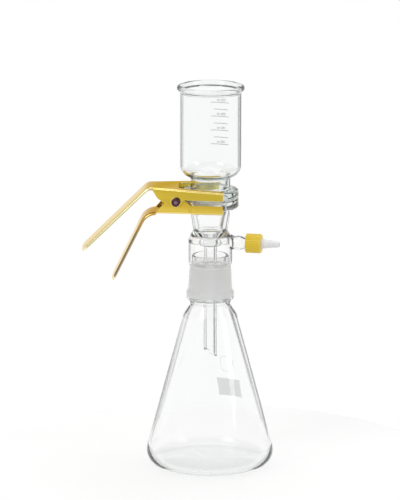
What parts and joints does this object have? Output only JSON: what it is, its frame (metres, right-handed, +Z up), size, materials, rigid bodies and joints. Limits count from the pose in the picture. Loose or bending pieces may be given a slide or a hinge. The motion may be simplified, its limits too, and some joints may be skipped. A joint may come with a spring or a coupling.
{
  "type": "vacuum filtration unit",
  "caption": "Glass vacuum filtration unit: graduated funnel clamped by a gold spring clamp to a base with side arm and drip tube, on a conical flask.",
  "frame": {"origin": "centre of the flask's base, on the table", "axes": "+Z up through flask, base and funnel; the clamp's handles point along -X; the side arm points along +X, turned a little towards -Y"},
  "size_m": [0.2162, 0.1392, 0.4246],
  "materials": {
    "clear_glass": "clear polished borosilicate glass",
    "sintered_glass": "matt white sintered glass",
    "membrane": "matt",
    "gold_aluminium": "gold anodised, satin",
    "dark_rivet": "dark purple-brown",
    "spring_steel": "bright drawn wire",
    "yellow_plastic": "semi-gloss moulded plastic",
    "white_plastic": "satin moulded plastic",
    "soft_seal": "matt silicone"
  },
  "bodies": {
    "unit": {"flask": "clear_glass", "filter_base": "clear_glass", "support_frit": "sintered_glass", "membrane_filter": "membrane", "funnel": "clear_glass", "clamp_rivet": "dark_rivet", "clamp_spring": "spring_steel"},
    "upper_jaw": {"clamp_upper_jaw": "gold_aluminium"},
    "lower_jaw": {"clamp_lower_jaw": "gold_aluminium"},
    "nozzle": {"hose_nozzle": "white_plastic", "seal_ring": "soft_seal"},
    "cap": {"screw_cap": "yellow_plastic"}
  },
  "joints": [
    {"name": "upper_jaw_hinge", "type": "hinge", "parent": "unit", "child": "upper_jaw", "pos_m": [-0.0378, 0, 0.3], "axis": [0, -1, 0], "range_deg": [0, 10], "stiffness_Nm_per_rad": 2, "springref_deg": -28.65, "deforming": ["clamp_spring"]},
    {"name": "lower_jaw_hinge", "type": "hinge", "parent": "unit", "child": "lower_jaw", "pos_m": [-0.0378, 0, 0.3], "axis": [0, 1, 0], "range_deg": [0, 10], "stiffness_Nm_per_rad": 2, "springref_deg": -28.65},
    {"name": "nozzle_slide", "type": "slide", "parent": "unit", "child": "nozzle", "axis": [0.9781, -0.2079, 0], "range_m": [0, 0.01]},
    {"name": "cap_turn", "type": "hinge", "parent": "nozzle", "child": "cap", "pos_m": [0, 0, 0.2513], "axis": [0.9781, -0.2079, 0], "range_deg": [0, 1440]}
  ],
  "couplings": [
    {"joint": "lower_jaw_hinge", "follows": "upper_jaw_hinge", "ratio": 1},
    {"joint": "cap_turn", "follows": "nozzle_slide", "rad_per_m": 2513.3}
  ]
}
